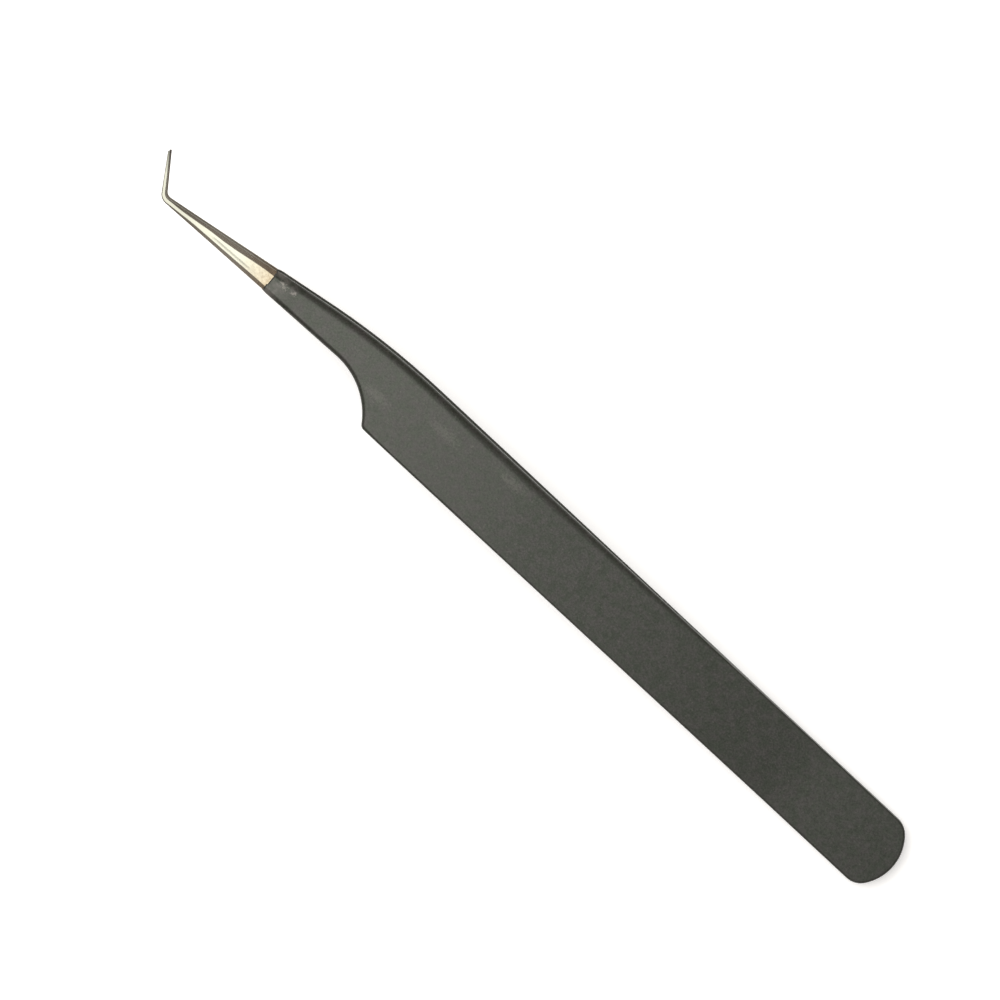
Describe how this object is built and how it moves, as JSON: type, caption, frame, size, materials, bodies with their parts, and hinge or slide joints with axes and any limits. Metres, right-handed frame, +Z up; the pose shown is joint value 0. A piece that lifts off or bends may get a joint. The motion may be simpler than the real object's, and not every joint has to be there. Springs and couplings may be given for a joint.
{
  "type": "angled fine-point precision tweezers",
  "caption": "Angled fine-point precision tweezers with coated flat handles, bare ground noses and points bent to one side, made of two sprung blades spot-welded at the tail.",
  "frame": {"origin": "on the table, under the middle of the part's box, with the part lying on its broad side on its tail end and the belly of the lower arm", "axes": "+X along the handle from the welded tail to the points, +Y across the handle towards the notched edge (the points bend towards -Y), +Z up through both arms"},
  "size_m": [0.12, 0.0092, 0.0119],
  "materials": {
    "blade_steel": "ground and satin-polished stainless spring steel, warm in tone, fine lengthwise grind marks",
    "handle_coating": "satin dark warm-grey baked coating with a very fine grain",
    "weld_steel": "dull spot-welded steel, sealed between the blades"
  },
  "bodies": {
    "tail": {"upper_blade_tail": "blade_steel", "lower_blade_tail": "blade_steel", "tail_coating": "handle_coating", "weld_nuggets": "weld_steel"},
    "upper_arm": {"upper_blade": "blade_steel", "upper_coating": "handle_coating"},
    "lower_arm": {"lower_blade": "blade_steel", "lower_coating": "handle_coating"}
  },
  "joints": [
    {"name": "upper_arm_flex", "type": "hinge", "parent": "tail", "child": "upper_arm", "pos_m": [-0.03803, 0, 0.00363], "axis": [0, 1, 0], "range_deg": [0, 1.86], "stiffness_Nm_per_rad": 6},
    {"name": "lower_arm_flex", "type": "hinge", "parent": "tail", "child": "lower_arm", "pos_m": [-0.0379, 0, 0.00154], "axis": [0, -1, 0], "range_deg": [0, 1.86], "stiffness_Nm_per_rad": 6}
  ]
}
